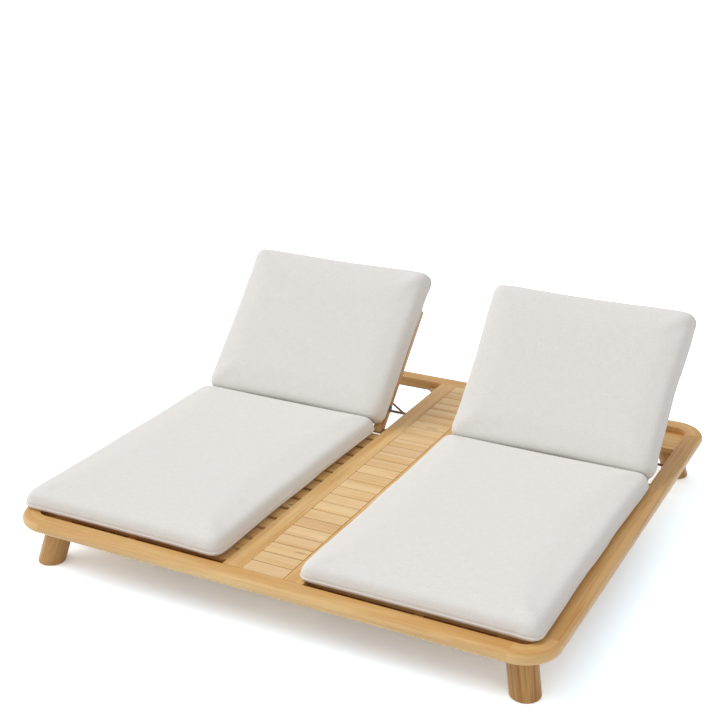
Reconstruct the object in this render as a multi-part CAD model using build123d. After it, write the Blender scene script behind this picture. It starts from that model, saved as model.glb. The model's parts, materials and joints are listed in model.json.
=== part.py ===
from build123d import *
import os
from math import atan2, cos, degrees, radians, sin, sqrt

# Double chaise lounger: one low teak platform on four legs, two seats with reclining
# backrests and loose cushions, and a slatted table between them.
# Millimetres. +X is to the right, +Y towards the head end, +Z up.
# The origin is on the floor, under the middle of the platform.

# Platform
overall_width = 2000
overall_length = 1910
frame_top = 195
rail_thickness = 42
rail_round = 20
inner_round = 2.5
corner_radius = 125
corner_reach = 130
inner_corner_radius = 50
side_rail_width = 68
front_rail_width = 66
back_rail_width = 80
centre_rail_width = 72

# Table between the seats
table_width = 158
table_slat_count = 26
table_slat_gap = 4
table_slat_thickness = 20
table_end_gap = 1.5
table_batten_width = 25
table_batten_height = 22
slat_round = 2

# Legs and the boards that carry them
leg_radius = 50
leg_foot_inset = 99
leg_splay_share = 0.23
leg_foot_round = 4
leg_board_thickness = 18
leg_board_width = 132
leg_board_length = 164
leg_bolt_radius = 5
leg_bolt_depth = 60
corner_block_side = 60

# Seat slats and what they rest on
slat_thickness = 16
seat_slat_count = 13
seat_slats_share = 0.614
seat_slat_gap = 18
first_slat_gap = 41
slat_end_gap = 1
ledger_width = 22
front_ledger_width = 46
joist_width = 30
joist_height = 30
hinge_beam_width = 50
hinge_beam_thickness = 32

# Backrest frame, in its own plane: along it from the hinge, and square to it
recline = 46.7
hinge_beam_clearance = 25
back_side_clearance = 12
back_end_clearance = 10
back_rail_depth = 22
back_stile_width = 40
back_top_rail_width = 60
back_bottom_rail_width = 50
back_bottom_rail_start = 28
back_slat_count = 5
back_slat_thickness = 16
stile_end_round = 10.5
board_clearance = 2

# Hinge bolts and spacers
hinge_bolt_radius = 5
hinge_bolt_depth = 40
bolt_head_radius = 9
bolt_head_thickness = 6
spacer_radius = 12
running_clearance = 0.05
seat_clearance = 0.3

# Prop behind each backrest, with its racks under the rails
prop_batten_share = 0.3014
prop_batten_width = 36
prop_batten_thickness = 20
prop_batten_inset = 10
prop_length_share = 0.4411
prop_rod_radius = 5
prop_leg_radius = 4.5
prop_bar_height = 124
prop_leg_inset = 74
prop_eye_radius = 8
prop_eye_width = 14
prop_pin_radius = 4
prop_pivot_drop = 12
bracket_plate = 3
bracket_gap = 0.5
bracket_side = 24
pin_head_radius = 6.5
pin_head_thickness = 2.5
rack_thickness = 16
rack_inset = 2
rack_bar_overrun = 4
rack_floor_height = 18
rack_headroom = 6
rack_end_length = 18
rack_tip_clearance = 0.4
notch_count = 4
notch_depth = 4

# Cushions
cushion_corner_radius = 46
cushion_drawn_in = 7
seat_cushion_extra_width = 43
seat_cushion_thickness = 78
seat_cushion_crown = 9
seat_cushion_front_gap = 9
seat_cushion_hinge_gap = 26
left_seat_cushion_shift = 42.5
right_seat_cushion_shift = -7.5
back_cushion_low_extra_width = 21
back_cushion_high_extra_width = 38
back_cushion_thickness = 84
back_cushion_crown = 8
back_cushion_start = 20
back_cushion_past_frame = 147
left_back_cushion_shift = 27
right_back_cushion_shift = 4
crown_inset_share = 0.33
cushion_clearance = 0.6
underside_inset_share = 0.45
seam_inset_share = 0.38
cushion_profile_shares = ((0.23, 0.15), (0.45, 0), (0.76, 0.08), (0.94, 0.3), (1, 0.52))

# Webbing strap that holds each back cushion to its frame
strap_width = 24
strap_thickness = 1.5
strap_batten_gap = 34
strap_gap = 2

# Worked out from the sizes above
overrun = 2 * rail_thickness
half_width = overall_width / 2
half_length = overall_length / 2
frame_bottom = frame_top - rail_thickness
opening_front = front_rail_width - half_length
opening_back = half_length - back_rail_width
opening_inner = table_width / 2 + centre_rail_width
opening_outer = half_width - side_rail_width
opening_middle = (opening_inner + opening_outer) / 2
opening_length = opening_back - opening_front
slat_bottom = frame_bottom + leg_board_thickness
slat_top = slat_bottom + slat_thickness
opening_width = opening_outer - opening_inner
first_slat_front = opening_front + first_slat_gap
seat_slat_pitch = seat_slats_share * opening_length / seat_slat_count
seat_slat_width = seat_slat_pitch - seat_slat_gap
hinge_beam_front = first_slat_front + seat_slat_count * seat_slat_pitch
hinge_beam_back = hinge_beam_front + hinge_beam_width
half_depth = back_rail_depth / 2
hinge_y = hinge_beam_back + hinge_beam_clearance + half_depth
hinge_z = slat_bottom + board_clearance + half_depth
back_length = opening_back - back_end_clearance - hinge_y
back_inner = opening_inner + back_side_clearance
back_outer = opening_outer - back_side_clearance
batten_back = -half_depth - prop_batten_thickness
prop_length = prop_length_share * back_length
prop_pivot_along = prop_batten_share * back_length
prop_pivot_square = batten_back - prop_pivot_drop
prop_leg_inner = opening_inner + prop_leg_inset
prop_leg_outer = opening_outer - prop_leg_inset
seat_cushion_width = opening_width + seat_cushion_extra_width
back_cushion_low_width = opening_width + back_cushion_low_extra_width
back_cushion_high_width = opening_width + back_cushion_high_extra_width
sides = (("left", -1), ("right", 1))


def block(x_ends, y_ends, z_ends):
    """A plain block between two places on each axis."""
    middle = [sum(ends) / 2 for ends in (x_ends, y_ends, z_ends)]
    size = [abs(ends[1] - ends[0]) for ends in (x_ends, y_ends, z_ends)]
    return Pos(*middle) * Box(*size)


def rounded_top(shape, axis, radius):
    """Ease the upper edges that run along an axis."""
    return fillet(shape.edges().filter_by(axis).group_by(Axis.Z)[-1], radius)


def rod(start, end, radius):
    """A round bar between two points."""
    line = Vector(*end) - Vector(*start)
    plane = Plane(origin=start, z_dir=line)
    return extrude(plane * Circle(radius), line.length)


def cross_rod(x_ends, y, z, radius):
    """A round bar that lies across the lounger."""
    low, high = sorted(x_ends)
    return rod((low, y, z), (high, y, z), radius)


def reclined(shape, angle=recline):
    """Carry a piece from the backrest's own plane to its place at a recline."""
    return Pos(0, hinge_y, hinge_z) * Rot(angle, 0, 0) * shape


def save(node, shape):
    """Write one piece, or one group of like pieces."""
    shape.label = node
    export_step(shape, f"parts/{node}.step")


# Platform frame

def frame_ring():
    """The whole rim in one piece, before it is cut into rails and corners."""
    rim = extrude(RectangleRounded(overall_width, overall_length, corner_radius), rail_thickness)
    rim = Pos(0, 0, frame_bottom) * rim
    level_edges = rim.edges().group_by(Axis.Z)
    rim = fillet(level_edges[0] + level_edges[-1], rail_round)
    hole = extrude(RectangleRounded(2 * opening_outer, opening_length, inner_corner_radius), 2 * overrun)
    rim = rim - Pos(0, (opening_front + opening_back) / 2, frame_bottom - overrun / 2) * hole
    lip = rim.faces().sort_by(Axis.Z)[-1].inner_wires()[0]
    return fillet(lip.edges(), inner_round)


def hinge_holes(side):
    """The bores that take the two hinge bolts of one backrest."""
    reach = opening_inner - hinge_bolt_depth, opening_outer + hinge_bolt_depth
    return cross_rod([side * x for x in reach], hinge_y, hinge_z, hinge_bolt_radius + running_clearance)


def frame_pieces():
    """Two long rails, two side rails and four curved corners."""
    rim = frame_ring()
    for name, side in sides:
        rim = rim - hinge_holes(side)
    seam_x = half_width - corner_reach
    seam_y = half_length - corner_reach
    heights = (frame_bottom - overrun, frame_top + overrun)
    far_x = half_width + overrun
    far_y = half_length + overrun
    pieces = {}
    for name, end in (("front", -1), ("back", 1)):
        pieces[f"{name}_rail"] = rim & block((-seam_x, seam_x), (0, end * far_y), heights)
        for side_name, side in sides:
            corner = block((side * seam_x, side * far_x), (end * seam_y, end * far_y), heights)
            pieces[f"{name}_{side_name}_corner"] = rim & corner
    for side_name, side in sides:
        pieces[f"{side_name}_side_rail"] = rim & block((0, side * far_x), (-seam_y, seam_y), heights)
    return pieces


def centre_rail(side):
    """The rail between one seat and the table."""
    rail = block((side * table_width / 2, side * opening_inner), (opening_front, opening_back),
                 (frame_bottom, frame_top))
    return rounded_top(rail, Axis.Y, inner_round) - hinge_holes(side)


def corner_blocks():
    """Glue blocks where the centre rails meet the front and back rails."""
    blocks = []
    for name, side in sides:
        for y, end in ((opening_front, 1), (opening_back, -1)):
            corner = side * opening_inner, y
            along = side * (opening_inner + corner_block_side), y
            down = side * opening_inner, y + end * corner_block_side
            face = make_face(Polyline(corner, along, down, close=True))
            blocks.append(Pos(0, 0, frame_bottom) * extrude(face, leg_board_thickness, dir=(0, 0, 1)))
    return Compound(children=blocks)


# Legs

def leg_places():
    """Name, foot centre and outward direction of each leg."""
    places = []
    for name, end in (("front", -1), ("back", 1)):
        for side_name, side in sides:
            foot = side * (half_width - leg_foot_inset), end * (half_length - leg_foot_inset)
            places.append((f"{name}_{side_name}", side, end, foot))
    return places


def leg_head(side, end, foot):
    """Centre of a leg's upper end, drawn in from its foot by the splay."""
    shift = leg_splay_share * frame_bottom
    return foot[0] - side * shift, foot[1] - end * shift


def leg_bolt(side, end, foot, clearance=0):
    """The bolt that holds a leg up to its board, or its bore."""
    x, y = leg_head(side, end, foot)
    return rod((x, y, frame_bottom - leg_bolt_depth), (x, y, slat_bottom), leg_bolt_radius + clearance)


def leg(side, end, foot):
    """A round splayed leg, cut level at both ends."""
    head = leg_head(side, end, foot)
    lower = Pos(foot[0], foot[1], 0) * Circle(leg_radius)
    upper = Pos(head[0], head[1], frame_bottom) * Circle(leg_radius)
    shape = loft([lower.face(), upper.face()])
    shape = fillet(shape.edges().group_by(Axis.Z)[0], leg_foot_round)
    return shape - leg_bolt(side, end, foot, running_clearance)


def leg_board(side, end, foot):
    """The flat board in the corner of a seat opening that a leg is bolted to."""
    edge_y = opening_front if end < 0 else opening_back
    board = block((side * (opening_outer - leg_board_width), side * opening_outer),
                  (edge_y, edge_y - end * leg_board_length), (frame_bottom, slat_bottom))
    corner = board.edges().filter_by(Axis.Z).sort_by_distance((side * half_width, end * half_length, 0))[0]
    board = fillet(corner, inner_corner_radius)
    return board - leg_bolt(side, end, foot, running_clearance)


# Table

def table_slats():
    """Short slats flush with the rails, from the front rail to the back rail."""
    pitch = opening_length / table_slat_count
    reach = table_width / 2 - table_end_gap
    slats = []
    for index in range(table_slat_count):
        front = opening_front + index * pitch + table_slat_gap / 2
        slat = block((-reach, reach), (front, front + pitch - table_slat_gap),
                     (frame_top - table_slat_thickness, frame_top))
        slats.append(rounded_top(slat, Axis.X, slat_round))
    return Compound(children=slats)


def table_battens():
    """The two battens under the table slats, fixed to the centre rails."""
    top = frame_top - table_slat_thickness
    edge = table_width / 2
    battens = [block((side * (edge - table_batten_width), side * edge), (opening_front, opening_back),
                     (top - table_batten_height, top)) for name, side in sides]
    return Compound(children=battens)


# Seat

def seat_slats(side):
    """The slats that carry a seat cushion."""
    x_ends = side * (opening_inner + slat_end_gap), side * (opening_outer - slat_end_gap)
    slats = []
    for index in range(seat_slat_count):
        front = first_slat_front + index * seat_slat_pitch
        slat = block(x_ends, (front, front + seat_slat_width), (slat_bottom, slat_top))
        slats.append(rounded_top(slat, Axis.X, slat_round))
    return Compound(children=slats)


def seat_ledgers(side):
    """Strips under the ends of the seat slats, and along the front rail up to the first slat."""
    heights = frame_bottom, slat_bottom
    inner = block((side * opening_inner, side * (opening_inner + ledger_width)),
                  (opening_front + corner_block_side, hinge_beam_front), heights)
    outer = block((side * (opening_outer - ledger_width), side * opening_outer),
                  (opening_front + leg_board_length, hinge_beam_front), heights)
    front = opening_front, opening_front + front_ledger_width
    half_joist = joist_width / 2
    near_ends = side * opening_inner, side * (opening_middle - half_joist)
    far_ends = side * (opening_middle + half_joist), side * (opening_outer - leg_board_width)
    near = block(near_ends, front, heights) - corner_blocks()
    return Compound(children=[inner, outer, near, block(far_ends, front, heights)])


def seat_joist(side):
    """The long bearer under the middle of the seat slats."""
    middle = side * opening_middle
    return block((middle - joist_width / 2, middle + joist_width / 2), (opening_front, hinge_beam_front),
                 (slat_bottom - joist_height, slat_bottom))


def hinge_beam(side):
    """The cross beam in front of the backrest."""
    beam = block((side * opening_inner, side * opening_outer), (hinge_beam_front, hinge_beam_back),
                 (slat_top - hinge_beam_thickness, slat_top))
    return rounded_top(beam, Axis.X, slat_round)


# Hinges

def hinge_ends(side):
    """Rail face, backrest face and inward direction at both hinges of one backrest."""
    return ((side * opening_inner, side * back_inner, side), (side * opening_outer, side * back_outer, -side))


def hinge_bolts():
    """Bolts from the rails through the lower ends of the backrest stiles."""
    bolts = []
    for name, side in sides:
        for rail_x, back_x, inward in hinge_ends(side):
            head_x = back_x + inward * (back_stile_width + seat_clearance)
            shank_ends = rail_x - inward * hinge_bolt_depth, head_x
            shank = cross_rod(shank_ends, hinge_y, hinge_z, hinge_bolt_radius)
            head_ends = head_x, head_x + inward * bolt_head_thickness
            head = cross_rod(head_ends, hinge_y, hinge_z, bolt_head_radius)
            bolts.append(shank + head)
    return Compound(children=bolts)


def hinge_spacers():
    """Washers that keep the backrests clear of the rails."""
    spacers = []
    for name, side in sides:
        for rail_x, back_x, inward in hinge_ends(side):
            ends = rail_x, back_x - inward * seat_clearance
            ring = cross_rod(ends, hinge_y, hinge_z, spacer_radius)
            bore = cross_rod(ends, hinge_y, hinge_z, hinge_bolt_radius + running_clearance)
            spacers.append(ring - bore)
    return Compound(children=spacers)


# Backrest, drawn flat with its hinge at the origin

def back_stile(side, x_face, inward):
    """A side member of the backrest: rounded lower end, hinge bore, and a round outer corner."""
    ends = x_face, x_face + inward * back_stile_width
    stile = block(ends, (-half_depth, back_length), (-half_depth, half_depth))
    lower_end = stile.edges().filter_by(Axis.X).group_by(Axis.Y)[0]
    stile = fillet(lower_end, stile_end_round)
    if inward != side:
        corner = stile.edges().filter_by(Axis.Z).sort_by_distance((x_face, back_length, 0))[0]
        stile = fillet(corner, inner_corner_radius - back_side_clearance)
    return reclined(stile - cross_rod(ends, 0, 0, hinge_bolt_radius + running_clearance))


def back_inside(side):
    """The two inner faces of the stiles, between which the rails and slats lie."""
    return side * (back_inner + back_stile_width), side * (back_outer - back_stile_width)


def back_cross_rail(side, start, width):
    """A full-depth rail between the stiles."""
    rail = block(back_inside(side), (start, start + width), (-half_depth, half_depth))
    return reclined(rounded_top(rail, Axis.X, slat_round))


def back_slats(side):
    """Slats evenly spaced between the lower and the upper rail."""
    start = back_bottom_rail_start + back_bottom_rail_width
    room = back_length - back_top_rail_width - start
    gap = (room - back_slat_count * seat_slat_width) / (back_slat_count + 1)
    slats = []
    for index in range(back_slat_count):
        low = start + gap + index * (seat_slat_width + gap)
        slat = block(back_inside(side), (low, low + seat_slat_width),
                     (half_depth - back_slat_thickness, half_depth))
        slats.append(reclined(rounded_top(slat, Axis.X, slat_round)))
    return Compound(children=slats)


def prop_batten(side):
    """The batten across the back of the backrest that the prop hangs from."""
    ends = side * (back_inner + prop_batten_inset), side * (back_outer - prop_batten_inset)
    low = prop_pivot_along - prop_batten_width / 2
    return reclined(block(ends, (low, low + prop_batten_width), (batten_back, -half_depth)))


def cushion_middle(side, shift):
    """Where the middle of a cushion lies across the lounger."""
    return side * opening_middle - shift if side < 0 else side * opening_middle + shift


def cushion_strap(side, shift):
    """Webbing behind the backrest that comes round both stiles, in to the cushion."""
    high = prop_pivot_along - prop_batten_width / 2 - strap_batten_gap
    span = high - strap_width, high
    inner = side * back_inner
    outer = side * back_outer
    skin = half_depth + strap_thickness
    wrap_ends = inner - side * strap_thickness, outer + side * strap_thickness
    strap = block(wrap_ends, span, (-skin, -half_depth))
    strap = strap + block((inner - side * strap_thickness, inner), span, (-skin, skin))
    strap = strap + block((outer, outer + side * strap_thickness), span, (-skin, half_depth - strap_gap))
    underside = back_cushion_low_width / 2 - underside_inset_share * back_cushion_thickness
    cushion_edge = cushion_middle(side, shift) - side * (underside + strap_gap)
    strap = strap + block((inner - side * strap_thickness, cushion_edge), span, (half_depth, skin))
    return reclined(strap)


# Prop

def leg_middles(side):
    """Where the two legs of a prop lie across the lounger."""
    return side * prop_leg_inner, side * prop_leg_outer


def prop_brackets(side):
    """A forked plate on the batten for each leg of the prop, with its pin."""
    pieces = []
    ear_room = prop_eye_width / 2 + bracket_gap
    square_ends = prop_pivot_square - bracket_side / 3, batten_back
    span = prop_pivot_along - bracket_side / 2, prop_pivot_along + bracket_side / 2
    for x in leg_middles(side):
        base = block((x - ear_room - bracket_plate, x + ear_room + bracket_plate), span,
                     (batten_back - bracket_plate, batten_back))
        fork = base
        for out in (-1, 1):
            ear = block((x + out * ear_room, x + out * (ear_room + bracket_plate)), span, square_ends)
            ear_end = ear.edges().filter_by(Axis.X).group_by(Axis.Z)[0]
            fork = fork + fillet(ear_end, bracket_side / 3)
        far = ear_room + bracket_plate
        fork = fork - cross_rod((x - far, x + far), prop_pivot_along, prop_pivot_square,
                                prop_pin_radius + running_clearance)
        pin = cross_rod((x - far, x + far), prop_pivot_along, prop_pivot_square, prop_pin_radius)
        for out in (-1, 1):
            head = cross_rod((x + out * far, x + out * (far + pin_head_thickness)),
                             prop_pivot_along, prop_pivot_square, pin_head_radius)
            pin = pin + head
        pieces += [reclined(fork), reclined(pin)]
    return Compound(children=pieces)


def pivot_place(angle):
    """Where the prop's pivot is, in the YZ plane, at a recline."""
    turn = radians(angle)
    y = hinge_y + prop_pivot_along * cos(turn) - prop_pivot_square * sin(turn)
    z = hinge_z + prop_pivot_along * sin(turn) + prop_pivot_square * cos(turn)
    return y, z


def prop_slope(angle):
    """Downward slope of the prop when its bar lies at the height of the rack."""
    drop = pivot_place(angle)[1] - prop_bar_height
    return degrees(atan2(drop, sqrt(prop_length ** 2 - drop ** 2)))


prop_ratio = (prop_slope(recline) - prop_slope(0) + recline) / recline


def bar_place(angle):
    """Where the bar is when the prop folds in step with the backrest."""
    y, z = pivot_place(angle)
    slope = radians(prop_slope(0) + (prop_ratio - 1) * angle)
    return y + prop_length * cos(slope), z - prop_length * sin(slope)


def prop(side):
    """A steel rod frame: two legs with an eye each, and the bar that drops into the racks."""
    y, z = pivot_place(recline)
    bar_y, bar_z = bar_place(recline)
    ends = opening_inner - rack_inset - rack_thickness - rack_bar_overrun
    far_ends = opening_outer + rack_inset + rack_thickness + rack_bar_overrun
    shape = cross_rod((side * ends, side * far_ends), bar_y, bar_z, prop_rod_radius)
    for x in leg_middles(side):
        eye_ends = x - prop_eye_width / 2, x + prop_eye_width / 2
        shape = shape + rod((x, y, z), (x, bar_y, bar_z), prop_leg_radius)
        shape = shape + cross_rod(eye_ends, y, z, prop_eye_radius)
        shape = shape - cross_rod(eye_ends, y, z, prop_pin_radius + running_clearance)
    return shape


def rack(side, face, outward):
    """A slotted board under a rail, with the notches that the prop's bar rests in."""
    stops = [bar_place(recline * index / notch_count) for index in range(notch_count + 1)]
    floor = min(z for y, z in stops) - prop_rod_radius - rack_tip_clearance
    slot_ends = stops[-1][0] - 3 * prop_rod_radius, max(y for y, z in stops) + 3 * prop_rod_radius
    x_ends = face + outward * rack_inset, face + outward * (rack_inset + rack_thickness)
    board = block(x_ends, (slot_ends[0] - rack_end_length, slot_ends[1] + rack_end_length),
                  (floor - rack_floor_height, frame_bottom))
    slot = block(x_ends, slot_ends, (floor, prop_bar_height + prop_rod_radius + rack_headroom))
    notch_radius = prop_rod_radius + rack_tip_clearance
    for y, z in stops[1:]:
        slot = slot + cross_rod(x_ends, y, floor + notch_radius - notch_depth, notch_radius)
    return board - slot


# Cushions

def cushion_slice(height, y_ends, low_x, high_x):
    """A level slice of a cushion: round corners, and sides drawn in between them."""
    corners = ((high_x[1], y_ends[1], 1, 1), (high_x[0], y_ends[1], -1, 1),
               (low_x[0], y_ends[0], -1, -1), (low_x[1], y_ends[0], 1, -1))
    inwards = ((0, -1), (1, 0), (0, 1), (-1, 0))
    radius = cushion_corner_radius
    bend = radius * (1 - sqrt(1 / 2))
    arcs = []
    for x, y, right, back in corners:
        on_side = x, y - back * radius
        on_end = x - right * radius, y
        first, last = (on_side, on_end) if right == back else (on_end, on_side)
        arcs.append((first, (x - right * bend, y - back * bend), last))
    edges = []
    for index, (first, middle, last) in enumerate(arcs):
        edges.append(ThreePointArc(first, middle, last))
        after = arcs[(index + 1) % len(arcs)][0]
        inward = [cushion_drawn_in * part for part in inwards[index]]
        between = (last[0] + after[0]) / 2 + inward[0], (last[1] + after[1]) / 2 + inward[1]
        edges.append(ThreePointArc(last, between, after))
    return Pos(0, 0, height) * make_face(edges)


def seat_cushion(side, shift):
    """A seat cushion: it sinks between the rails onto the slats and ends at the back cushion."""
    middle = cushion_middle(side, shift)
    front = opening_front + seat_cushion_front_gap
    back = hinge_y - seat_cushion_hinge_gap
    rail_lift = frame_top - slat_top + cushion_clearance
    underside = underside_inset_share * seat_cushion_thickness
    seam = seam_inset_share * seat_cushion_thickness
    levels = [(0, underside, True), (rail_lift, seam, True), (rail_lift + cushion_clearance, seam, False)]
    for height, inset in cushion_profile_shares:
        levels.append((height * seat_cushion_thickness, inset * seat_cushion_thickness, False))
    crown_inset = crown_inset_share * min(back - front, seat_cushion_width)
    levels.append((seat_cushion_thickness + seat_cushion_crown, crown_inset, False))
    slices = []
    for height, inset, between_rails in levels:
        half = seat_cushion_width / 2 - inset
        x_ends = [middle - half, middle + half]
        if between_rails:
            reach = opening_inner + cushion_clearance, opening_outer - cushion_clearance
            room = sorted(side * x for x in reach)
            x_ends = [max(x_ends[0], room[0]), min(x_ends[1], room[1])]
        y_ends = front + inset, back - inset
        slices.append(cushion_slice(slat_top + height, y_ends, x_ends, x_ends))
    return loft(slices, ruled=True)


def back_cushion(side, shift):
    """A back cushion on the face of its backrest, a little wider at its head end."""
    middle = cushion_middle(side, shift)
    end = back_length + back_cushion_past_frame
    levels = [(0, underside_inset_share), *cushion_profile_shares]
    levels = [(height * back_cushion_thickness, inset * back_cushion_thickness) for height, inset in levels]
    crown_inset = crown_inset_share * min(end - back_cushion_start, back_cushion_low_width)
    levels.append((back_cushion_thickness + back_cushion_crown, crown_inset))
    slices = []
    for height, inset in levels:
        low = back_cushion_low_width / 2 - inset
        high = back_cushion_high_width / 2 - inset
        y_ends = back_cushion_start + inset, end - inset
        slices.append(cushion_slice(half_depth + height, y_ends, (middle - low, middle + low),
                                    (middle - high, middle + high)))
    return reclined(loft(slices, ruled=True))


os.makedirs("parts", exist_ok=True)

for node, piece in frame_pieces().items():
    save(node, piece)
for place, side, end, foot in leg_places():
    save(f"{place}_leg", leg(side, end, foot))
    save(f"{place}_leg_board", leg_board(side, end, foot))
save("leg_bolts", Compound(children=[leg_bolt(side, end, foot) for place, side, end, foot in leg_places()]))
save("corner_blocks", corner_blocks())
save("table_slats", table_slats())
save("table_battens", table_battens())
save("hinge_bolts", hinge_bolts())
save("hinge_spacers", hinge_spacers())
seat_shifts = {"left": left_seat_cushion_shift, "right": right_seat_cushion_shift}
back_shifts = {"left": left_back_cushion_shift, "right": right_back_cushion_shift}
for name, side in sides:
    save(f"{name}_centre_rail", centre_rail(side))
    save(f"{name}_seat_slats", seat_slats(side))
    save(f"{name}_seat_ledgers", seat_ledgers(side))
    save(f"{name}_seat_joist", seat_joist(side))
    save(f"{name}_hinge_beam", hinge_beam(side))
    save(f"{name}_inner_rack", rack(side, side * opening_inner, -side))
    save(f"{name}_outer_rack", rack(side, side * opening_outer, side))
    save(f"{name}_seat_cushion", seat_cushion(side, seat_shifts[name]))
    save(f"{name}_back_inner_stile", back_stile(side, side * back_inner, side))
    save(f"{name}_back_outer_stile", back_stile(side, side * back_outer, -side))
    save(f"{name}_back_bottom_rail", back_cross_rail(side, back_bottom_rail_start, back_bottom_rail_width))
    top_start = back_length - back_top_rail_width
    save(f"{name}_back_top_rail", back_cross_rail(side, top_start, back_top_rail_width))
    save(f"{name}_back_slats", back_slats(side))
    save(f"{name}_prop_batten", prop_batten(side))
    save(f"{name}_prop_brackets", prop_brackets(side))
    save(f"{name}_back_cushion", back_cushion(side, back_shifts[name]))
    save(f"{name}_cushion_strap", cushion_strap(side, back_shifts[name]))
    save(f"{name}_prop", prop(side))
pivot_y, pivot_z = pivot_place(recline)
print(f"hinge at y {hinge_y:.2f} z {hinge_z:.2f}, prop pivot at y {pivot_y:.2f} z {pivot_z:.2f}")
print(f"prop folds by {prop_ratio:.4f} for each degree of the backrest")
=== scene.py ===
import bpy
import bmesh
import json
from math import atan2, copysign, cos, exp, hypot, pi, radians, sin
from mathutils import Matrix, Vector, noise


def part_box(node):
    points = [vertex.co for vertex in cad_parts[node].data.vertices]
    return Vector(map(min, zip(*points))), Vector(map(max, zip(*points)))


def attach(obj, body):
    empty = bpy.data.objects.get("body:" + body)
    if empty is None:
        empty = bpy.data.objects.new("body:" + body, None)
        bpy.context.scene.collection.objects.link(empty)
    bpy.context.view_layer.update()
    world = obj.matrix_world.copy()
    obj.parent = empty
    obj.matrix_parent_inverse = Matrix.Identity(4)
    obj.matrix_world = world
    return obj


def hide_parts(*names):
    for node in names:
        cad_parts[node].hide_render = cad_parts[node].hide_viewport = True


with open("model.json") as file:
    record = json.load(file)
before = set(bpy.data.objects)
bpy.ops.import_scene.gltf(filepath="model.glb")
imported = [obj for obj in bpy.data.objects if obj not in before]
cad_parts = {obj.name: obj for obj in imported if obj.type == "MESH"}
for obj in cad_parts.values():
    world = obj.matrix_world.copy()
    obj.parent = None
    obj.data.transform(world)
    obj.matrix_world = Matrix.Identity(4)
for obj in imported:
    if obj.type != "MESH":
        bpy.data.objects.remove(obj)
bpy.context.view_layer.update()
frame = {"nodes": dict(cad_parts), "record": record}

# Places taken from the frame, in metres
MM = 0.001
joints = {joint["name"]: joint for joint in frame["record"]["behaviour"]["joints"]}
recline = radians(-joints["left_recline"]["range_deg"][0])
hinge = Vector((0, *joints["left_recline"]["pos_m"][1:]))
frame_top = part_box("front_rail")[1][2]
opening_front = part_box("front_rail")[1][1]
opening_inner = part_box("right_centre_rail")[1][0]
opening_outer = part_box("right_hinge_beam")[1][0]
seat_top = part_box("left_seat_slats")[1][2]
sides = ("left", "right")

# The backrest lies in its own plane: Y runs along it from the hinge, Z stands square to it
lean = Matrix.Translation(hinge) @ Matrix.Rotation(recline, 4, "X")
# The face of its slats, that far from the middle of the hinge bolts
face_depth = 11 * MM

# Turns that bring a board's grain onto the pattern's X
ALONG_X = (0, 0, 0)
ALONG_Y = (0, 0, -pi / 2)
ALONG_Z = (0, pi / 2, 0)
ALONG_BACK = (-recline, 0, -pi / 2)
ACROSS_BACK = (-recline, 0, 0)


def box_in(node, plane):
    """A node's lowest and highest corners in a plane of its own."""
    flat = plane.inverted()
    points = [flat @ vertex.co for vertex in frame["nodes"][node].data.vertices]
    return [[pick(point[axis] for point in points) for axis in range(3)] for pick in (min, max)]


def middle_at(points, level):
    """The middle of the points at one height."""
    near = [point for point in points if abs(point.z - level) < 1 * MM]
    return sum(near, Vector()) / len(near)


# Shader maths as Python expressions

class Signal:
    """One output in a material: arithmetic on it adds Math nodes."""

    def __init__(self, paint, socket):
        self.paint = paint
        self.socket = socket

    def math(self, operation, *values):
        return self.paint.node("ShaderNodeMath", {"operation": operation}, dict(enumerate(values)))

    def __add__(self, other):
        return self.math("ADD", self, other)

    def __sub__(self, other):
        return self.math("SUBTRACT", self, other)

    def __rsub__(self, other):
        return self.math("SUBTRACT", other, self)

    def __mul__(self, other):
        return self.math("MULTIPLY", self, other)

    def __truediv__(self, other):
        return self.math("DIVIDE", self, other)

    def __pow__(self, other):
        return self.math("POWER", self, other)

    def __abs__(self):
        return self.math("ABSOLUTE", self)

    def clamped(self):
        return self.paint.node("ShaderNodeClamp", {}, {"Value": self})

    def over(self, level, gain):
        """How far it lies above a level, from 0 to 1."""
        return ((self - level) * gain).clamped()

    def under(self, level, gain):
        """How far it lies below a level, from 0 to 1."""
        return ((level - self) * gain).clamped()

    __radd__ = __add__
    __rmul__ = __mul__


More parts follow.
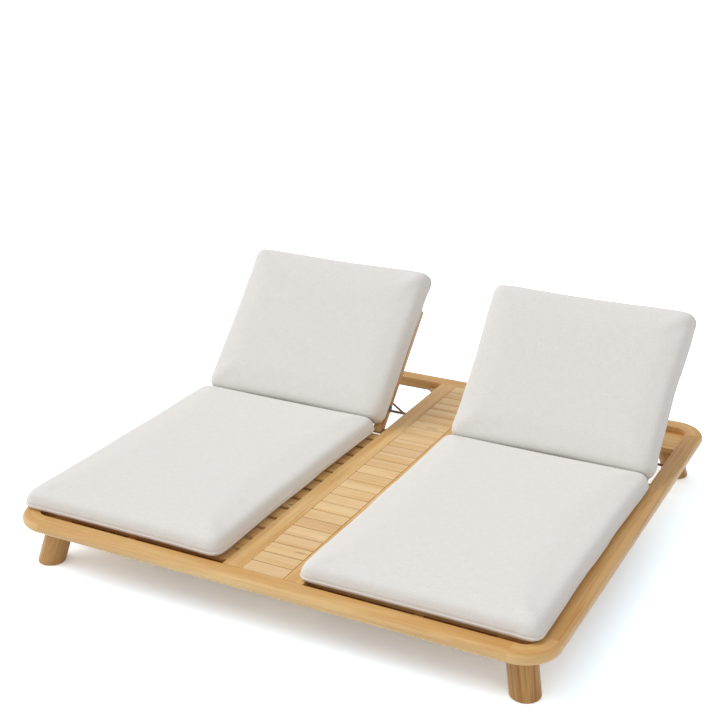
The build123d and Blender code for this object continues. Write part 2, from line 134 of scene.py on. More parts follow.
class Paint:
    """The nodes of a material, or of the world, under construction."""

    def __init__(self, name, block=None):
        self.block = block or bpy.data.materials.new(name)
        self.block.use_nodes = True
        self.tree = self.block.node_tree
        self.tree.nodes.clear()

    def node(self, kind, settings=None, inputs=None, output=0):
        """Add a node: its settings first, then the values or links of its sockets."""
        node = self.tree.nodes.new(kind)
        for key, value in (settings or {}).items():
            setattr(node, key, value)
        for key, value in (inputs or {}).items():
            if isinstance(value, Signal):
                self.tree.links.new(value.socket, node.inputs[key])
            else:
                node.inputs[key].default_value = value
        return Signal(self, node.outputs[output])

    def position(self):
        """Where a point lies on the object, in metres."""
        return self.node("ShaderNodeTexCoord", output="Object")

    def facing(self):
        """The way that the surface faces."""
        return self.node("ShaderNodeTexCoord", output="Normal")

    def axis(self, vector, number):
        """One of the three values of a vector."""
        return self.node("ShaderNodeSeparateXYZ", {}, {0: vector}, output=number)

    def vector(self, *values):
        return self.node("ShaderNodeCombineXYZ", {}, dict(enumerate(values)))

    def moved(self, place, offset):
        return self.node("ShaderNodeVectorMath", {"operation": "ADD"}, {0: place, 1: offset})

    def turned(self, place, turn, shift):
        return self.node("ShaderNodeMapping", {}, {"Vector": place, "Rotation": turn, "Location": shift})

    def place(self, turn=(0, 0, 0), shift=(0, 0, 0)):
        """Object coordinates, turned and moved."""
        return self.turned(self.position(), turn, shift)

    def bent(self, node):
        """Coordinates that follow a rounded corner: along the bend, out from its centre, and up."""
        low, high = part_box(node)
        centre = [min(low[axis], high[axis], key=abs) for axis in range(2)]
        position = self.position()
        across, along = (abs(self.axis(position, axis) - centre[axis]) for axis in range(2))
        reach = (across * across + along * along) ** 0.5
        angle = along.math("ARCTAN2", along, across)
        return self.vector(angle * bend_size, reach, self.axis(position, 2))

    def upright(self, node, turn, shift):
        """Coordinates that lean as a leg does, so that its grain runs along it."""
        low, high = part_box(node)
        points = [vertex.co for vertex in frame["nodes"][node].data.vertices]
        foot, head = (middle_at(points, level) for level in (low[2], high[2]))
        slopes = [(foot[axis] - head[axis]) / (high[2] - low[2]) for axis in range(2)]
        position = self.position()
        height = self.axis(position, 2)
        upright = self.moved(position, self.vector(*(height * slope for slope in slopes)))
        return self.turned(upright, turn, shift)

    def stretch(self, place, cycles):
        return self.node("ShaderNodeVectorMath", {"operation": "MULTIPLY"}, {0: place, 1: cycles})

    def noise(self, place, cycles, detail=2, roughness=0.6, distortion=0):
        """Cloudy marks, so many to the metre on each axis."""
        cycles = cycles if isinstance(cycles, tuple) else (cycles, cycles, cycles)
        return self.node("ShaderNodeTexNoise", {}, {"Vector": self.stretch(place, cycles), "Scale": 1,
                                                    "Detail": detail, "Roughness": roughness,
                                                    "Distortion": distortion})

    def blend(self, amount, first, second):
        """A colour between two others."""
        sockets = {0: amount, 6: first, 7: second}
        return self.node("ShaderNodeMix", {"data_type": "RGBA"}, sockets, output=2)

    def layered(self, colour, layers):
        """A colour with tints laid over it in turn, each by its own amount."""
        for amount, tint in layers:
            colour = self.blend(amount, colour, tint)
        return colour

    def bump(self, height, strength, distance):
        sizes = {"Height": height, "Strength": strength, "Distance": distance}
        return self.node("ShaderNodeBump", {}, sizes)

    def finish(self, sockets):
        """The surface itself, from a name and value for each socket used."""
        self.shown(self.node("ShaderNodeBsdfPrincipled", {}, sockets))
        return self.block

    def shown(self, surface, kind="ShaderNodeOutputMaterial"):
        out = self.tree.nodes.new(kind)
        self.tree.links.new(surface.socket, out.inputs["Surface"])


def rgb(red, green, blue):
    """A colour from the 0 to 255 values that it should show."""
    def linear(value):
        share = value / 255
        return share / 12.92 if share <= 0.04045 else ((share + 0.055) / 1.055) ** 2.4
    return linear(red), linear(green), linear(blue), 1


# Teak

HONEY = rgb(216, 168, 98)
PALE = rgb(238, 205, 144)
ROSY = rgb(211, 160, 106)
STREAK = rgb(174, 119, 64)
PORE = rgb(118, 74, 40)
UMBER = rgb(154, 94, 36)
# Painted shade: the deeper gold laid on the upward faces of rails and corners
PAINTED_SHADE_GOLD = rgb(196, 140, 70)
CREAM = rgb(241, 214, 170)

# Marks of the grain: how many to the metre along a board and across it, detail, roughness, distortion
FIGURE = (1.3, 17), 3, 0.55, 0.6
VEINS = (1.7, 52), 3, 0.6, 0.8
BANDS = (2.4, 120), 3, 0.6, 0.3
FIBRES = (14, 800), 2, 0.6, 0
PORES = (42, 1500), 1, 0.5, 0
KNOTS = 2.6, 9

# The radius at which the grain of a rounded corner has its true length
bend_size = 100 * MM


def teak(name, turn, seed, tones=None, corner=None, leg=None, deep_tone_and_shade=0, light=0, painted_facing_light=0):
    """Oiled teak: wide figure, veins, narrow bands, fine fibres, short dark pores and a rare knot.

    tones is the attribute that sets the slats of a row apart; the darkening and the lightening shift the
    whole board, the darkening partly as a board's own deeper tone and partly as painted shade; and the amount
    of painted light by facing lays painted shade that darkens its upper side towards gold and a painted
    highlight that pales its flanks.
    """
    paint = Paint(name)
    shift = (seed * 1.37, seed * 0.61, seed * 0.23)
    if corner:
        grain = paint.bent(corner)
    elif leg:
        grain = paint.upright(leg, turn, shift)
    else:
        grain = paint.place(turn, shift)
    if tones:
        tone = paint.node("ShaderNodeAttribute", {"attribute_name": tones}, output="Fac")
        grain = paint.moved(grain, paint.vector(tone * 7.1, tone * 3.3, tone * 5.9))

    def marks(kind):
        (along, across), detail, roughness, distortion = kind
        return paint.noise(grain, (along, across, across), detail, roughness, distortion)

    figure, veins, bands, fibres, pores = map(marks, (FIGURE, VEINS, BANDS, FIBRES, PORES))
    cells = paint.stretch(grain, (KNOTS[0], KNOTS[1], KNOTS[1]))
    knots = paint.node("ShaderNodeTexVoronoi", {}, {"Vector": cells, "Scale": 1})
    wide = figure.over(0.36, 3.4)
    vein = veins.over(0.52, 6)
    streak = bands.over(0.52, 6)
    pore = pores.over(0.63, 9)
    knot = knots.under(0.09, 22)

    layers = []
    if tones:
        hue = tone.math("FRACT", tone * 9.7)
        layers += [(tone.over(0.62, 2.5) * 0.45, PALE), (hue.over(0.66, 3) * 0.75, ROSY),
                   (tone.under(0.3, 3) * 0.35, STREAK)]
    layers += [(vein * 0.36, STREAK), (streak * 0.34, STREAK), (fibres * 0.24, ROSY), (pore * 0.45, PORE),
               (knot * 0.6, PORE)]
    # Deepening towards umber: the legs' own deeper tone, and painted shade on the seat ledgers, corner blocks
    # and side rails
    if deep_tone_and_shade:
        layers += [(wide * 0.2 + vein * 0.4 + deep_tone_and_shade, UMBER), (streak * deep_tone_and_shade, PORE)]
    if light:
        layers += [(wide * 0.1 + light, CREAM)]
    # Painted light by facing: a painted highlight pales the flanks, and painted shade darkens the upper side
    # towards gold
    if painted_facing_light:
        upward = paint.axis(paint.facing(), 2).clamped() ** 2
        layers += [((1 - upward) * painted_facing_light * 0.5, CREAM), (upward * painted_facing_light, PAINTED_SHADE_GOLD)]
    relief = fibres * 0.5 + bands * 0.4 - pore * 0.6
    return paint.finish({"Base Color": paint.layered(paint.blend(wide, HONEY, PALE), layers),
                         "Roughness": fibres * 0.24 + 0.38, "Normal": paint.bump(relief, 0.35, 0.35 * MM),
                         "Specular IOR Level": 0.27, "Coat Weight": 0.12, "Coat Roughness": 0.28})


# Cloth

IVORY = rgb(233, 231, 227)
IVORY_SHADE = rgb(223, 219, 213)
IVORY_LIGHT = rgb(240, 238, 235)
WEB_DARK = rgb(68, 80, 96)
WEB_LIGHT = rgb(100, 112, 128)

thread = 1.15 * MM
web_rib = 1.6 * MM
# Slubs in a thread, how many to the metre along it and across it
slubs_along, slubs_across = 26, 620


def weave(name, turn=(0, 0, 0)):
    """Plain woven ivory cover, with threads of uneven thickness on every side of a cushion."""
    paint = Paint(name)
    place = paint.place(turn)
    normal = paint.node("ShaderNodeMapping", {"vector_type": "VECTOR"},
                        {"Vector": paint.facing(), "Rotation": turn})
    along = [paint.axis(place, axis) for axis in range(3)]
    facing = [abs(paint.axis(normal, axis)) ** 4 for axis in range(3)]
    total = facing[0] + facing[1] + facing[2] + 0.001
    heights = []
    slubs = []
    for axis, (first, second) in enumerate(((1, 2), (0, 2), (0, 1))):
        share = facing[axis] / total
        waves = [along[number] * (pi / thread) for number in (first, second)]
        crossing = [abs(wave.math("SINE", wave)) for wave in waves]
        uneven = []
        for lengthwise, across in ((first, second), (second, first)):
            cycles = [0, 0, 0]
            cycles[lengthwise] = slubs_along
            cycles[across] = slubs_across
            uneven.append(paint.noise(place, tuple(cycles)))
        threads = uneven[0] * 0.5 + uneven[1] * 0.5
        heights.append((crossing[0] * crossing[1] * 0.35 + threads) * share)
        slubs.append(threads * share)
    height = heights[0] + heights[1] + heights[2]
    slub = slubs[0] + slubs[1] + slubs[2]
    cloudy = paint.noise(place, 9, 2, 0.5)
    colour = paint.blend(slub.over(0.36, 3.4), IVORY_SHADE, IVORY_LIGHT)
    return paint.finish({"Base Color": paint.blend(cloudy * 0.5, colour, IVORY),
                         "Roughness": slub * 0.1 + 0.82, "Normal": paint.bump(height, 0.3, 0.6 * MM),
                         "Sheen Weight": 0.15, "Sheen Roughness": 0.5, "Specular IOR Level": 0.13})


def seam_cloth(name):
    """The folded edge of the cover along a seam."""
    paint = Paint(name)
    fine = paint.noise(paint.place(), 700)
    return paint.finish({"Base Color": paint.blend(fine, IVORY_SHADE, IVORY), "Roughness": fine * 0.1 + 0.82,
                         "Normal": paint.bump(fine, 0.4, 0.4 * MM), "Specular IOR Level": 0.2})


def webbing():
    """Flat grey-blue webbing with ribs across its width."""
    paint = Paint("webbing")
    place = paint.place(ALONG_BACK)
    wave = paint.axis(place, 0) * (pi / web_rib)
    rib = abs(wave.math("SINE", wave))
    fuzz = paint.noise(place, 900)
    colour = paint.blend(rib * 0.6 + fuzz * 0.4, WEB_DARK, WEB_LIGHT)
    return paint.finish({"Base Color": colour, "Roughness": fuzz * 0.15 + 0.7,
                         "Normal": paint.bump(rib + fuzz * 0.4, 0.5, 0.3 * MM)})


# Metal

BRONZE = rgb(118, 80, 44)
BRONZE_RUBBED = rgb(158, 116, 72)
STEEL_DULL = rgb(168, 165, 160)
STEEL_BRIGHT = rgb(196, 194, 190)


def coated_steel():
    """Dark bronze coating on the prop, rubbed a little brighter in places."""
    paint = Paint("coated steel")
    place = paint.place()
    speck = paint.noise(place, 1600)
    rubbed = paint.noise(place, 38, 4).over(0.56, 5)
    return paint.finish({"Base Color": paint.blend(rubbed * 0.6, BRONZE, BRONZE_RUBBED),
                         "Roughness": speck * 0.2 + 0.36, "Metallic": rubbed * 0.2 + 0.1,
                         "Normal": paint.bump(speck, 0.25, 0.15 * MM)})


def turned_steel():
    """Plain bolt steel with fine turning marks and dull patches."""
    paint = Paint("bolt steel")
    place = paint.place()
    marks = paint.noise(place, (90, 2400, 2400))
    dull = paint.noise(place, 70, 3)
    return paint.finish({"Base Color": paint.blend(dull, STEEL_DULL, STEEL_BRIGHT),
                         "Roughness": dull * 0.25 + 0.22, "Metallic": 1.0,
                         "Normal": paint.bump(marks, 0.2, 0.1 * MM)})


# Geometry node trees

class Recipe:
    """A geometry node tree with named inputs, ended by Realize Instances and Set Material."""

    def __init__(self, name, inputs):
        self.tree = bpy.data.node_groups.new(name, "GeometryNodeTree")
        self.tree.interface.new_socket("Geometry", in_out="OUTPUT", socket_type="NodeSocketGeometry")
        for title, kind in inputs.items():
            self.tree.interface.new_socket(title, in_out="INPUT", socket_type=kind)
        self.start = self.tree.nodes.new("NodeGroupInput")
        self.end = self.tree.nodes.new("NodeGroupOutput")

    def given(self, title):
        return self.start.outputs[title]

    def node(self, kind, settings=None, inputs=None, output=0):
        node = self.tree.nodes.new(kind)
        for key, value in (settings or {}).items():
            setattr(node, key, value)
        for key, value in (inputs or {}).items():
            if isinstance(value, bpy.types.NodeSocket):
                self.tree.links.new(value, node.inputs[key])
            else:
                node.inputs[key].default_value = value
        return node.outputs[output]

    def times(self, first, second):
        return self.node("ShaderNodeMath", {"operation": "MULTIPLY"}, {0: first, 1: second})

    def vector(self, values):
        return self.node("ShaderNodeCombineXYZ", {}, values)

    def section(self, width, height, rounding, count):
        """A rectangle with eased corners."""
        plain = self.node("GeometryNodeCurvePrimitiveQuadrilateral", {}, {"Width": width, "Height": height})
        return self.node("GeometryNodeFilletCurve", {"mode": "POLY"},
                         {"Curve": plain, "Radius": rounding, "Count": count})

    def close(self, geometry):
        real = self.node("GeometryNodeRealizeInstances", {}, {0: geometry})
        painted = self.node("GeometryNodeSetMaterial", {}, {0: real, "Material": self.given("Finish")})
        self.tree.links.new(painted, self.end.inputs[0])
        return self.tree


def placed(name, mesh):
    """Link a mesh as an object that sits at the origin."""
    mesh.name = name
    piece = bpy.data.objects.new(name, mesh)
    bpy.context.scene.collection.objects.link(piece)
    return piece


def grown(name, tree, values, base=None):
    """Run a tree on its own, and keep the result as a plain mesh object."""
    holder = bpy.data.objects.new("holder", base or bpy.data.meshes.new("holder"))
    bpy.context.scene.collection.objects.link(holder)
    modifier = holder.modifiers.new("recipe", "NODES")
    modifier.node_group = tree
    for item in tree.interface.items_tree:
        if item.in_out == "INPUT" and item.name in values:
            modifier[item.identifier] = values[item.name]
    evaluated = holder.evaluated_get(bpy.context.evaluated_depsgraph_get())
    mesh = bpy.data.meshes.new_from_object(evaluated)
    bpy.data.objects.remove(holder)
    return placed(name, mesh)


def slat_recipe():
    """A row of eased slats side by side along Y: each has its own tone and lies a hair off true."""
    sizes = ("Pitch", "Length", "Width", "Thickness", "Rounding", "Play")
    recipe = Recipe("slat row", {"Count": "NodeSocketInt", "Seed": "NodeSocketInt",
                                 "First": "NodeSocketVector", **dict.fromkeys(sizes, "NodeSocketFloat"),
                                 "Finish": "NodeSocketMaterial"})
    start, end = (recipe.vector({0: recipe.times(recipe.given("Length"), half)}) for half in (-0.5, 0.5))
    line = recipe.node("GeometryNodeCurvePrimitiveLine", {}, {"Start": start, "End": end})
    section = recipe.section(*map(recipe.given, ("Width", "Thickness", "Rounding")), 3)
    slat = recipe.node("GeometryNodeCurveToMesh", {},
                       {"Curve": line, "Profile Curve": section, "Fill Caps": True})
    step = recipe.vector({1: recipe.given("Pitch")})
    row = recipe.node("GeometryNodeMeshLine", {"mode": "OFFSET"},
                      {"Count": recipe.given("Count"), "Start Location": recipe.given("First"),
                       "Offset": step})
    deepest = recipe.vector({2: recipe.times(recipe.given("Play"), -1)})
    sink = recipe.node("FunctionNodeRandomValue", {"data_type": "FLOAT_VECTOR"},
                       {0: deepest, 1: (0, 0, 0), "Seed": recipe.given("Seed")})
    row = recipe.node("GeometryNodeSetPosition", {}, {"Geometry": row, "Offset": sink})
    row = recipe.node("GeometryNodeInstanceOnPoints", {}, {"Points": row, "Instance": slat})
    tone = recipe.node("FunctionNodeRandomValue", {"data_type": "FLOAT"},
                       {2: 0.0, 3: 1.0, "Seed": recipe.given("Seed")}, output=1)
    row = recipe.node("GeometryNodeStoreNamedAttribute", {"data_type": "FLOAT", "domain": "INSTANCE"},
                      {"Geometry": row, "Name": "tone", "Value": tone})
    return recipe.close(row)


def welt_recipe():
    """A thin folded edge that follows a closed line."""
    recipe = Recipe("seam edge", {"Geometry": "NodeSocketGeometry", "Width": "NodeSocketFloat",
                                  "Height": "NodeSocketFloat", "Finish": "NodeSocketMaterial"})
    line = recipe.node("GeometryNodeMeshToCurve", {}, {0: recipe.given("Geometry")})
    width = recipe.given("Width")
    section = recipe.section(width, recipe.given("Height"), recipe.times(width, 0.45), 2)
    return recipe.close(recipe.node("GeometryNodeCurveToMesh", {}, {"Curve": line, "Profile Curve": section}))


# Slats

table_slat_width = 63.85 * MM
slat_width = 65.3 * MM
slat_easing = 2.2 * MM
slat_play = 0.3 * MM
slat_tree = slat_recipe()


def slat_row(name, node, body, count, width, finish, seed, play=slat_play, plane=None):
    """Replace a node of slats by a row that fills the same space."""
    low, high = box_in(node, plane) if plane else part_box(node)
    pitch = (high[1] - low[1] - width) / (count - 1)
    first = ((low[0] + high[0]) / 2, low[1] + width / 2, (low[2] + high[2]) / 2)
    values = {"Count": count, "Pitch": pitch, "First": first, "Length": high[0] - low[0], "Width": width,
              "Thickness": high[2] - low[2], "Rounding": slat_easing, "Play": play, "Seed": seed,
              "Finish": finish}
    row = grown(name, slat_tree, values)
    if plane:
        row.data.transform(plane)
    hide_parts(node)
    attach(row, body)


table_teak = teak("teak table slats", ALONG_X, 3.1, tones="tone", light=0.3)
slat_row("table_slat_row", "table_slats", "platform", 26, table_slat_width, table_teak, 4)
seat_teak = teak("teak seat slats", ALONG_X, 7.7, tones="tone")
back_teak = teak("teak back slats", ACROSS_BACK, 5.3, tones="tone")
for number, side in enumerate(sides):
    slat_row(f"{side}_seat_slat_row", f"{side}_seat_slats", "platform", 13, slat_width, seat_teak,
             11 + number)
    slat_row(f"{side}_back_slat_row", f"{side}_back_slats", f"{side}_backrest", 5, slat_width, back_teak,
             21 + number, play=0, plane=lean)


# Finishes of the other nodes, by the ending of their names

coating = coated_steel()
finishes = {"prop_brackets": coating, "hinge_spacers": coating, "_prop": coating, "bolts": turned_steel(),
            "cushion_strap": webbing()}
grains = {"front_rail": ALONG_X, "back_rail": ALONG_X, "side_rail": ALONG_Y, "centre_rail": ALONG_Y,
          "leg_board": ALONG_X, "leg": ALONG_Z, "corner_blocks": ALONG_X, "table_battens": ALONG_Y,
          "seat_ledgers": ALONG_Y, "seat_joist": ALONG_Y, "hinge_beam": ALONG_X, "rack": ALONG_Y,
          "stile": ALONG_BACK, "bottom_rail": ACROSS_BACK, "top_rail": ACROSS_BACK,
          "prop_batten": ACROSS_BACK}
# How strongly rails and corners get painted light by facing: painted shade on their tops, a painted highlight
# on their flanks
painted_facing_lights = {"centre_rail": 0.12, "_rail": 0.35, "_corner": 0.35}
# Darkening of whole boards: the legs' own deeper tone; painted shade on the seat ledgers, corner blocks and
# side rails, which lie in shade; the stiles a little darker
deep_tones_and_shades = {"_leg": 0.28, "_side_rail": 0.1, "_seat_ledgers": 0.75, "corner_blocks": 0.4, "_stile": 0.12}
replaced = ("table_slats", "seat_slats", "back_slats", "cushion")
# From one board to the next, the grain comes from another part of the log
log_step = 0.83


def by_ending(node, choices, otherwise=None):
    """The choice whose name the node's name ends with."""
    return next((value for ending, value in choices.items() if node.endswith(ending)), otherwise)


for number, node in enumerate(sorted(frame["nodes"])):
    if node.endswith(replaced):
        continue
    finish = by_ending(node, finishes)
    if finish is None:
        corner = node if node.endswith("_corner") else None
        leg = node if node.endswith("_leg") else None
        finish = teak(f"teak {node}", by_ending(node, grains), 1 + number * log_step, corner=corner, leg=leg,
                      deep_tone_and_shade=by_ending(node, deep_tones_and_shades, 0), painted_facing_light=by_ending(node, painted_facing_lights, 0))
    materials = frame["nodes"][node].data.materials
    materials.clear()
    materials.append(finish)


# Cushions, in a frame of their own: X across, Y along, Z up from the underside

# The side of a cushion: how far in it lies, and how high, as shares of its thickness
upper_side = ((0, 0.48), (0.004, 0.6), (0.03, 0.73), (0.1, 0.85), (0.21, 0.94), (0.38, 0.99))
seat_side = ((0.4, 0), (0.28, 0.055), (0.17, 0.11), (0.07, 0.165), (0.03, 0.23), (0.01, 0.32), *upper_side)
back_side = ((0.1, 0), (0.055, 0.04), (0.04, 0.14), (0.045, 0.27), (0.02, 0.36), *upper_side)
# Further rings of the shell, as shares of the way from its edge to the middle
underside_steps = (0.9, 0.6, 0.3, 0.1)
top_steps = (0.06, 0.16, 0.3, 0.5, 0.7, 0.9)
shell_points = 240

# The outline: its rounded corners, and how close to the edge the drawn-in sides begin
corner_radius = 36 * MM
corner_share = 0.8
edge_falloff = 8

# The filling: the shell starts smaller and flatter than the cushion, and swells by no more than the cap
sim_shrink = 3 * MM
sim_crown = 1 * MM
sim_cap = 7 * MM
sim_frames = 20
voxel = 9 * MM
filling = {"quality": 4, "mass": 0.35, "tension_stiffness": 12, "compression_stiffness": 6,
           "shear_stiffness": 4, "bending_stiffness": 0.4, "use_pressure": True, "uniform_pressure_force": 4,
           "vertex_group_mass": "seam"}

# The cover: how it is evened out, and the directions in which its reach is measured
smoothings = 9
smooth_above = 0.4
widest_band = (0.3, 0.7)
directions = 144

# The seam: its crease and its gathers, which are fuller within gather_reach of a corner
crease_depth = 2.2 * MM
crease_width = 2.4 * MM
crease_cuts = (-5 * MM, -2 * MM, 0, 2 * MM, 5 * MM)
gather_length = 11 * MM
gather_height = 16 * MM
gather_even = 0.7
gather_corner = 2.4
gather_reach = 170 * MM
seam_band = 60 * MM
swell_length = 85 * MM
swell_size = 1.2 * MM
seam_step = 4 * MM
welt_width = 1.8 * MM
welt_height = 3.4 * MM

# How far a cushion stays off the timber
clear = 0.4 * MM


class Cushion:
    """One cushion: its name, node, body and finish, its sizes, its side, its seam's height and its place."""

    def __init__(self, **facts):
        for name, value in facts.items():
            setattr(self, name, value)


def rounded_box_hit(direction, half_x, half_y, radius):
    """Where a ray from the centre leaves a rounded box."""
    least = 1e-9
    reach = min(half_x / max(abs(direction.x), least), half_y / max(abs(direction.y), least))
    hit = direction * reach
    centre = Vector((half_x - radius, half_y - radius))
    if abs(hit.x) > centre.x and abs(hit.y) > centre.y:
        towards = Vector((abs(direction.x), abs(direction.y)))
        middle = towards.dot(centre)
        reach = middle + (middle ** 2 - centre.length_squared + radius ** 2) ** 0.5
        hit = direction * reach
    return hit


def outline_point(cushion, inset, turn, shrink=0):
    """A point on a level slice, at a share of the way round from the middle of the right side."""
    angle = 2 * pi * turn
    direction = Vector((cos(angle), sin(angle)))
    half_y = (cushion.length / 2 - inset) * (1 - shrink)
    share_y = 0.5
    # The width depends on how far along the point lies, which a few rounds settle
    for step in range(3):
        width = cushion.low_width * (1 - share_y) + cushion.high_width * share_y
        half_x = (width / 2 - inset) * (1 - shrink)
        radius = min(corner_radius, half_x * corner_share, half_y * corner_share)
        point = rounded_box_hit(direction, half_x, half_y, radius)
        share_y = (point.y + half_y) / (2 * half_y)
    half = (half_x, half_y)
    between = [max(0, 1 - (point[axis] / half[axis]) ** 2) for axis in range(2)]
    for axis in range(2):
        near_edge = min(1, abs(point[axis]) / half[axis]) ** edge_falloff
        point[axis] -= cushion.drawn_in * between[1 - axis] * copysign(1, point[axis]) * near_edge
    return point


def crowned(cushion, share):
    """Height of the top, from its edge at 0 to the middle at 1: the filling raises the rest."""
    rise = 1 - (1 - min(1, share * 1.5)) ** 2.2
    return cushion.thickness * cushion.side[-1][1] + sim_crown * rise


def cushion_shell(cushion):
    """A closed starting mesh, a little smaller than the finished cushion."""
    under, over = (sim_shrink + cushion.side[end][0] * cushion.thickness for end in (0, -1))
    levels = [(under, share, 0) for share in underside_steps]
    levels += [(sim_shrink + inset * cushion.thickness, 0, height * cushion.thickness)
               for inset, height in cushion.side]
    levels += [(over, share, crowned(cushion, share)) for share in top_steps]
    form = bmesh.new()
    loops = []
    for inset, share, height in levels:
        ring = [outline_point(cushion, inset, step / shell_points, share) for step in range(shell_points)]
        loops.append([form.verts.new((*point, height)) for point in ring])
    for lower, upper in zip(loops, loops[1:]):
        for step in range(shell_points):
            after = (step + 1) % shell_points
            form.faces.new((lower[step], lower[after], upper[after], upper[step]))
    form.faces.new(reversed(loops[0]))
    form.faces.new(loops[-1])
    mesh = bpy.data.meshes.new(cushion.name)
    form.to_mesh(mesh)
    form.free()
    return placed(cushion.name, mesh)


def keep(piece):
    """Apply the modifiers to a plain mesh."""
    evaluated = piece.evaluated_get(bpy.context.evaluated_depsgraph_get())
    mesh = bpy.data.meshes.new_from_object(evaluated)
    piece.modifiers.clear()
    old = piece.data
    piece.data = mesh
    bpy.data.meshes.remove(old)


def puffed(piece, cushion):
    """Fill the cover with cloth pressure, held along its seam."""
    before = [vertex.co.copy() for vertex in piece.data.vertices]
    held = piece.vertex_groups.new(name="seam")
    for vertex in piece.data.vertices:
        if vertex.co.z < cushion.seam + voxel * 0.6:
            held.add([vertex.index], 1, "REPLACE")
    cloth = piece.modifiers.new("filling", "CLOTH")
    for key, value in filling.items():
        setattr(cloth.settings, key, value)
    cloth.settings.effector_weights.gravity = 0
    cloth.collision_settings.use_collision = False
    scene = bpy.context.scene
    for step in range(1, sim_frames + 1):
        scene.frame_set(step)
    keep(piece)
    scene.frame_set(1)
    for vertex, start in zip(piece.data.vertices, before):
        move = vertex.co - start
        if move.length > sim_cap:
            vertex.co = start + move * (sim_cap / move.length)
    piece.vertex_groups.clear()


def way_round(point):
    """How far round the middle a point lies, from 0 to 1."""
    return (atan2(point.y, point.x) / (2 * pi)) % 1


def fitted(piece, cushion):
    """Even out the cover, then bring it to the cushion's own outline and height."""
    form = bmesh.new()
    form.from_mesh(piece.data)
    upper = [vertex for vertex in form.verts if vertex.co.z > smooth_above * cushion.thickness]
    for repeat in range(smoothings):
        bmesh.ops.smooth_vert(form, verts=upper, factor=0.5, use_axis_x=True, use_axis_y=True,
                              use_axis_z=True)
    widest = [0] * directions
    for vertex in form.verts:
        if widest_band[0] < vertex.co.z / cushion.thickness < widest_band[1]:
            turn = way_round(vertex.co)
            number = int(turn * directions) % directions
            reach = vertex.co.xy.length / outline_point(cushion, 0, turn).length
            widest[number] = max(widest[number], reach)
    for repeat in range(2):
        widest = [(widest[number - 1] + 2 * widest[number] + widest[(number + 1) % directions]) / 4
                  for number in range(directions)]
    low = min(vertex.co.z for vertex in form.verts)
    top = max(vertex.co.z for vertex in form.verts)
    rise = (cushion.thickness + cushion.crown) / (top - low)
    for vertex in form.verts:
        place = way_round(vertex.co) * directions - 0.5
        before = int(place // 1)
        share = place - before
        reach = widest[before % directions] * (1 - share) + widest[(before + 1) % directions] * share
        vertex.co = Vector((vertex.co.x / reach, vertex.co.y / reach, (vertex.co.z - low) * rise))
    form.to_mesh(piece.data)
    form.free()


def cut_level(form, height, nearness):
    """Cut a mesh along a level plane."""
    return bmesh.ops.bisect_plane(form, geom=form.verts[:] + form.edges[:] + form.faces[:], dist=nearness,
                                  plane_co=(0, 0, height), plane_no=(0, 0, 1))["geom_cut"]


def gathered(piece, cushion):
    """Draw the cover in along its seam, with small gathers that are fuller near the corners."""
    form = bmesh.new()
    form.from_mesh(piece.data)
    for offset in crease_cuts:
        cut_level(form, cushion.seam + offset, 0.2 * MM)
    form.normal_update()
    half_x = cushion.high_width / 2
    half_y = cushion.length / 2
    for vertex in form.verts:
        level = vertex.co.z - cushion.seam
        outward = Vector((vertex.normal.x, vertex.normal.y, 0))
        if outward.length < 0.2 or abs(level) > seam_band:
            continue
        crease = crease_depth * exp(-(level / crease_width) ** 2)
        from_corner = hypot(half_x - abs(vertex.co.x), half_y - abs(vertex.co.y))
        near_corner = max(0, 1 - from_corner / gather_reach)
        around = Vector((vertex.co.x, vertex.co.y, cushion.seed)) / gather_length
        ripple = noise.noise(around) + 0.5 * noise.noise(around * 2.1)
        fade = exp(-abs(level) / gather_height)
        gather = ripple * fade * (gather_even + gather_corner * near_corner) * MM
        swell = noise.noise(Vector((vertex.co.x, vertex.co.y, level + cushion.seed)) / swell_length)
        vertex.co += outward.normalized() * (gather + swell * swell_size - crease)
    form.to_mesh(piece.data)
    form.free()


def seam_line(piece, cushion):
    """The closed line of the seam, read from the finished cover."""
    form = bmesh.new()
    form.from_mesh(piece.data)
    cut = cut_level(form, cushion.seam, 0.05 * MM)
    points = [element.co.copy() for element in cut if isinstance(element, bmesh.types.BMVert)]
    form.free()
    points.sort(key=lambda point: atan2(point.y / cushion.length, point.x / cushion.low_width))
    kept = [points[0]]
    for point in points[1:]:
        if (point - kept[-1]).length > seam_step:
            kept.append(point)
    count = len(kept)
    smooth = [(kept[index - 1] + kept[index] * 2 + kept[(index + 1) % count]) / 4 for index in range(count)]
    mesh = bpy.data.meshes.new("seam line")
    mesh.from_pydata(smooth, [(index, (index + 1) % count) for index in range(count)], [])
    return mesh


def rested(piece, cushion):
    """Keep a cushion off the timber that it lies on and beside."""
    on_seat = cushion.body == "platform"
    flat = lean.inverted()
    least = face_depth + (clear if on_seat else 2 * clear)
    for vertex in piece.data.vertices:
        point = vertex.co
        if on_seat:
            between = opening_inner < abs(point.x) < opening_outer and opening_front < point.y
            point.z = max(point.z, seat_top if between else frame_top + clear)
            if point.z < frame_top + clear:
                reach = min(max(abs(point.x), opening_inner + clear), opening_outer - clear)
                point.x = copysign(reach, point.x)
        leant = flat @ point
        if leant.z < least:
            leant.z = least
            vertex.co = lean @ leant


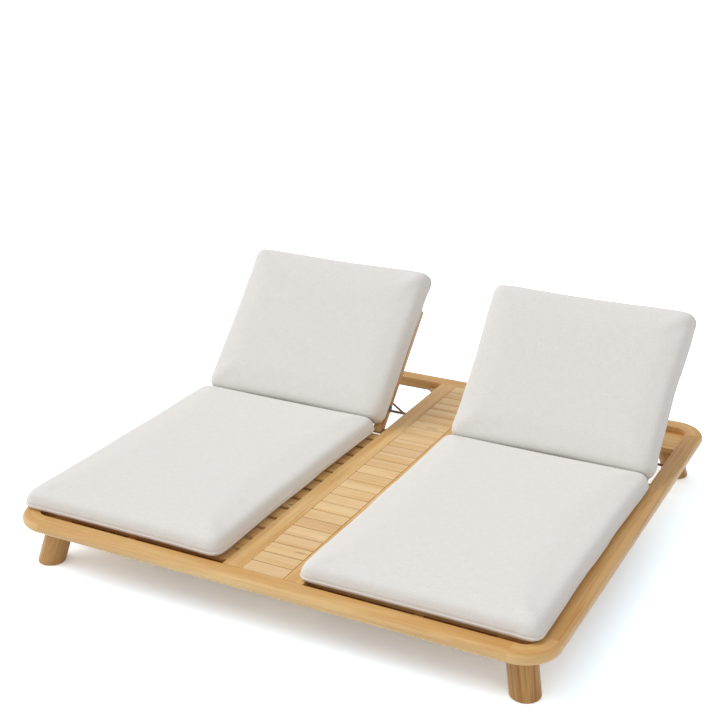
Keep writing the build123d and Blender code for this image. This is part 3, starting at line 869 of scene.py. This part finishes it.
def make_cushion(cushion):
    """One finished cushion with its seam."""
    piece = cushion_shell(cushion)
    remesh = piece.modifiers.new("even mesh", "REMESH")
    remesh.mode = "VOXEL"
    remesh.voxel_size = voxel
    keep(piece)
    puffed(piece, cushion)
    fitted(piece, cushion)
    gathered(piece, cushion)
    sizes = {"Width": welt_width, "Height": welt_height, "Finish": edge_finish}
    seam = grown(f"{cushion.name}_seam", welt_tree, sizes, seam_line(piece, cushion))
    for part in (piece, seam):
        part.data.transform(cushion.place)
        for face in part.data.polygons:
            face.use_smooth = True
    rested(piece, cushion)
    piece.data.materials.clear()
    piece.data.materials.append(cushion.finish)
    smooth = piece.modifiers.new("smooth", "SUBSURF")
    smooth.levels = smooth.render_levels = 1
    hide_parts(cushion.node)
    for part in (piece, seam):
        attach(part, cushion.body)


seat_finish = weave("seat cover weave")
back_finish = weave("back cover weave", (-recline, 0, 0))
edge_finish = seam_cloth("seam edge cloth")
welt_tree = welt_recipe()

# A back cushion sits a little towards the outside of its solid, and the left one is wider on the inside
back_aside = 4 * MM
back_along = 2 * MM
left_back_wider = 6 * MM

for number, side in enumerate(sides):
    low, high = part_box(f"{side}_seat_cushion")
    width = high[0] - low[0]
    place = Matrix.Translation(((low[0] + high[0]) / 2, (low[1] + high[1]) / 2, seat_top))
    make_cushion(Cushion(name=f"{side}_seat_pad", node=f"{side}_seat_cushion", body="platform",
                         finish=seat_finish, low_width=width, high_width=width, length=high[1] - low[1],
                         thickness=78 * MM, crown=9 * MM, drawn_in=4 * MM, side=seat_side, seam=29 * MM,
                         place=place, seed=3 + number * 5))
    low, high = box_in(f"{side}_back_cushion", lean)
    wider = left_back_wider if side == "left" else 0
    width = high[0] - low[0] + wider
    middle = ((low[0] + high[0] + wider) / 2 - back_aside, (low[1] + high[1]) / 2 + back_along, face_depth)
    make_cushion(Cushion(name=f"{side}_back_pad", node=f"{side}_back_cushion", body=f"{side}_backrest",
                         finish=back_finish, low_width=width - 11 * MM, high_width=width + 6 * MM,
                         length=high[1] - low[1] + 4 * MM, thickness=84 * MM, crown=8 * MM, drawn_in=7 * MM,
                         side=back_side, seam=22 * MM, place=lean @ Matrix.Translation(middle),
                         seed=6 + number * 7))


# Floor, light and camera

WHITE = (1, 1, 1, 1)
FLOOR = (0.86, 0.86, 0.86, 1)
# What the camera and reflections see of the floor, bright enough to be white where nothing shades it
FLOOR_SEEN = (1.62, 1.88, 2.12, 1)
floor_glow = 0.148
floor_size = 40
floor_drop = 0.5 * MM


def sees_white(paint):
    """1 for the camera, reflections and what is seen through something, and 0 for the light on the object."""
    camera, glossy, through = (paint.node("ShaderNodeLightPath", output=f"Is {kind} Ray")
                               for kind in ("Camera", "Glossy", "Transmission"))
    return (camera + glossy + through).clamped()


def floor():
    """A pale floor that shows white where nothing shades it."""
    paint = Paint("pale floor")
    plain = paint.node("ShaderNodeBsdfDiffuse", {}, {"Color": FLOOR})
    bright = paint.node("ShaderNodeBsdfDiffuse", {}, {"Color": FLOOR_SEEN})
    glow = paint.node("ShaderNodeEmission", {}, {"Color": WHITE, "Strength": floor_glow})
    seen = paint.node("ShaderNodeAddShader", {}, {0: bright, 1: glow})
    paint.shown(paint.node("ShaderNodeMixShader", {}, {0: sees_white(paint), 1: plain, 2: seen}))
    form = bmesh.new()
    bmesh.ops.create_grid(form, x_segments=1, y_segments=1, size=floor_size)
    mesh = bpy.data.meshes.new("floor")
    form.to_mesh(mesh)
    form.free()
    mesh.materials.append(paint.block)
    ground = placed("floor", mesh)
    ground.location.z = -floor_drop


def surroundings(strength):
    """An even pale room that shows white behind the object."""
    world = bpy.data.worlds.new("studio")
    paint = Paint("studio", world)
    dim, white = (paint.node("ShaderNodeBackground", {}, {"Color": WHITE, "Strength": level})
                  for level in (strength, 1))
    room = paint.node("ShaderNodeMixShader", {}, {0: sees_white(paint), 1: dim, 2: white})
    paint.shown(room, "ShaderNodeOutputWorld")
    bpy.context.scene.world = world


def far_lamp(name, towards, width, power):
    """A broad soft lamp, so far away that it lights the whole floor alike."""
    data = bpy.data.lights.new(name, "SUN")
    data.angle = width
    data.energy = power
    lamp = bpy.data.objects.new(name, data)
    lamp.rotation_euler = Vector(towards).to_track_quat("Z", "Y").to_euler()
    bpy.context.scene.collection.objects.link(lamp)


def camera(place, azimuth, elevation, lens):
    """The camera that sees the lounger as the photograph does."""
    data = bpy.data.cameras.new("camera")
    data.lens = lens
    data.sensor_width = 36
    data.clip_end = 200
    holder = bpy.data.objects.new("camera", data)
    holder.location = place
    holder.rotation_euler = (pi / 2 - elevation, 0, azimuth)
    bpy.context.scene.collection.objects.link(holder)
    bpy.context.scene.camera = holder


floor()
surroundings(strength=0.62)
far_lamp("soft lamp", towards=(-0.85, -0.15, 1), width=radians(50), power=1.45)
camera(place=(2.0299, -4.1435, 2.4011), azimuth=0.4748, elevation=0.3665, lens=67.525)
bpy.context.scene.view_settings.view_transform = "Standard"
